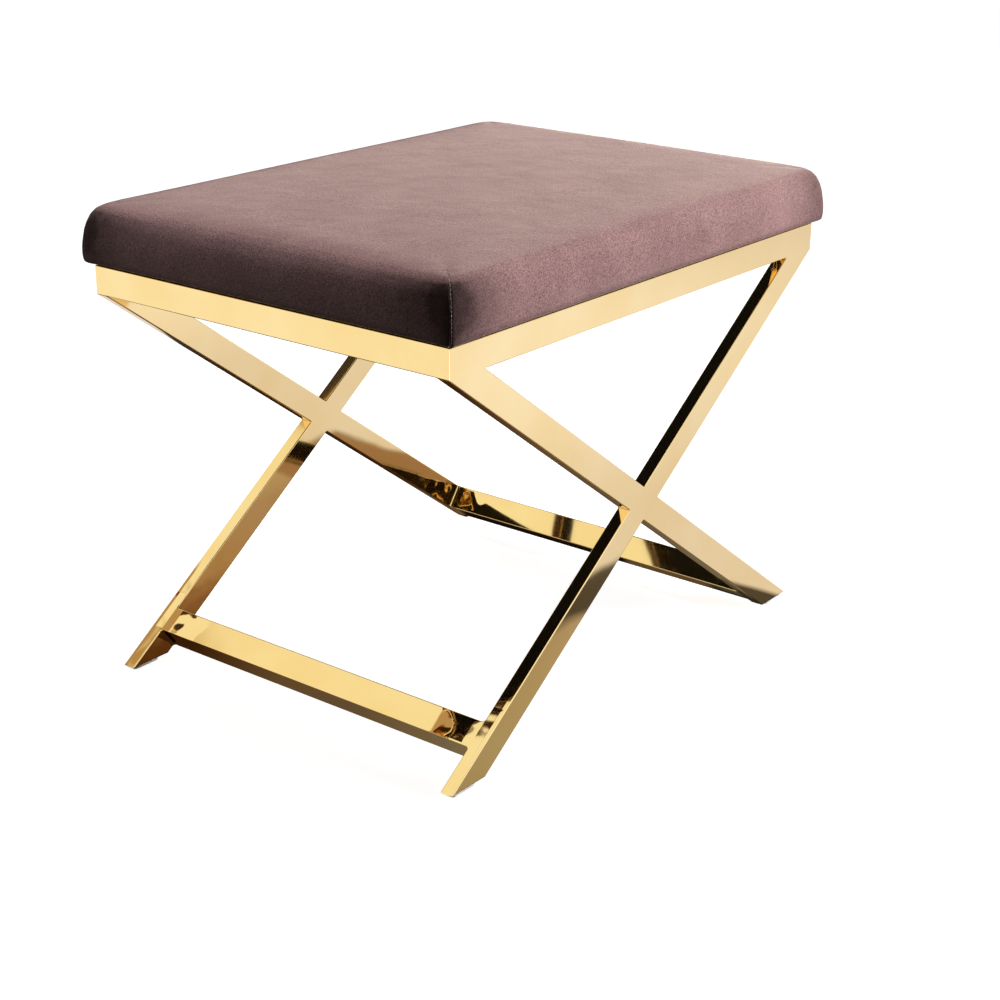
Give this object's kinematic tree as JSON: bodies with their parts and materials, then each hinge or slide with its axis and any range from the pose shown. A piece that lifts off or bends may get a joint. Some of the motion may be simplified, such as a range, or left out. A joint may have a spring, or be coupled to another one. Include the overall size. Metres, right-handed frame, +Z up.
{
  "type": "stool",
  "caption": "Rectangular upholstered stool: boxed velvet pad on a welded frame of flat gold tube, with an x frame under each long side and low stretchers between the feet.",
  "frame": {"origin": "on the floor, under the middle of the seat", "axes": "+Z is up, +X runs along the long side, to the right as seen from the front, and -Y is the front, where one x frame faces the viewer"},
  "size_m": [0.5592, 0.4072, 0.4399],
  "materials": {
    "gold_steel": "stainless steel tube with a mirror polish and a gold coloured vapour-deposited coat",
    "nylon": "moulded pale translucent nylon",
    "zinc_steel": "bright zinc plated steel",
    "plywood": "raw poplar plywood",
    "foam": "open cell polyurethane foam",
    "wadding": "white polyester wadding",
    "velvet": "short pile polyester velvet, mauve brown, with a soft sheen",
    "dust_cloth": "black spunbonded nonwoven cloth"
  },
  "bodies": {
    "root": {"rail_front": "gold_steel", "rail_back": "gold_steel", "rail_left": "gold_steel", "rail_right": "gold_steel", "front_long_bar": "gold_steel", "front_upper_bar": "gold_steel", "front_lower_bar": "gold_steel", "back_long_bar": "gold_steel", "back_upper_bar": "gold_steel", "back_lower_bar": "gold_steel", "stretcher_left": "gold_steel", "stretcher_right": "gold_steel", "foot_plate_front_left": "gold_steel", "foot_plate_front_right": "gold_steel", "foot_plate_back_right": "gold_steel", "foot_plate_back_left": "gold_steel", "glide_front_left": "nylon", "glide_front_right": "nylon", "glide_back_right": "nylon", "glide_back_left": "nylon", "seat_gusset_front_left": "gold_steel", "seat_gusset_front_right": "gold_steel", "seat_gusset_back_right": "gold_steel", "seat_gusset_back_left": "gold_steel", "seat_screw_front_left": "zinc_steel", "seat_screw_front_right": "zinc_steel", "seat_screw_back_right": "zinc_steel", "seat_screw_back_left": "zinc_steel", "seat_washer_front_left": "zinc_steel", "seat_washer_front_right": "zinc_steel", "seat_washer_back_right": "zinc_steel", "seat_washer_back_left": "zinc_steel", "seat_tnut_front_left": "zinc_steel", "seat_tnut_front_right": "zinc_steel", "seat_tnut_back_right": "zinc_steel", "seat_tnut_back_left": "zinc_steel", "seat_board": "plywood", "seat_foam": "foam", "seat_wadding": "wadding", "seat_cover": "velvet", "dust_cover": "dust_cloth"}
  },
  "joints": []
}
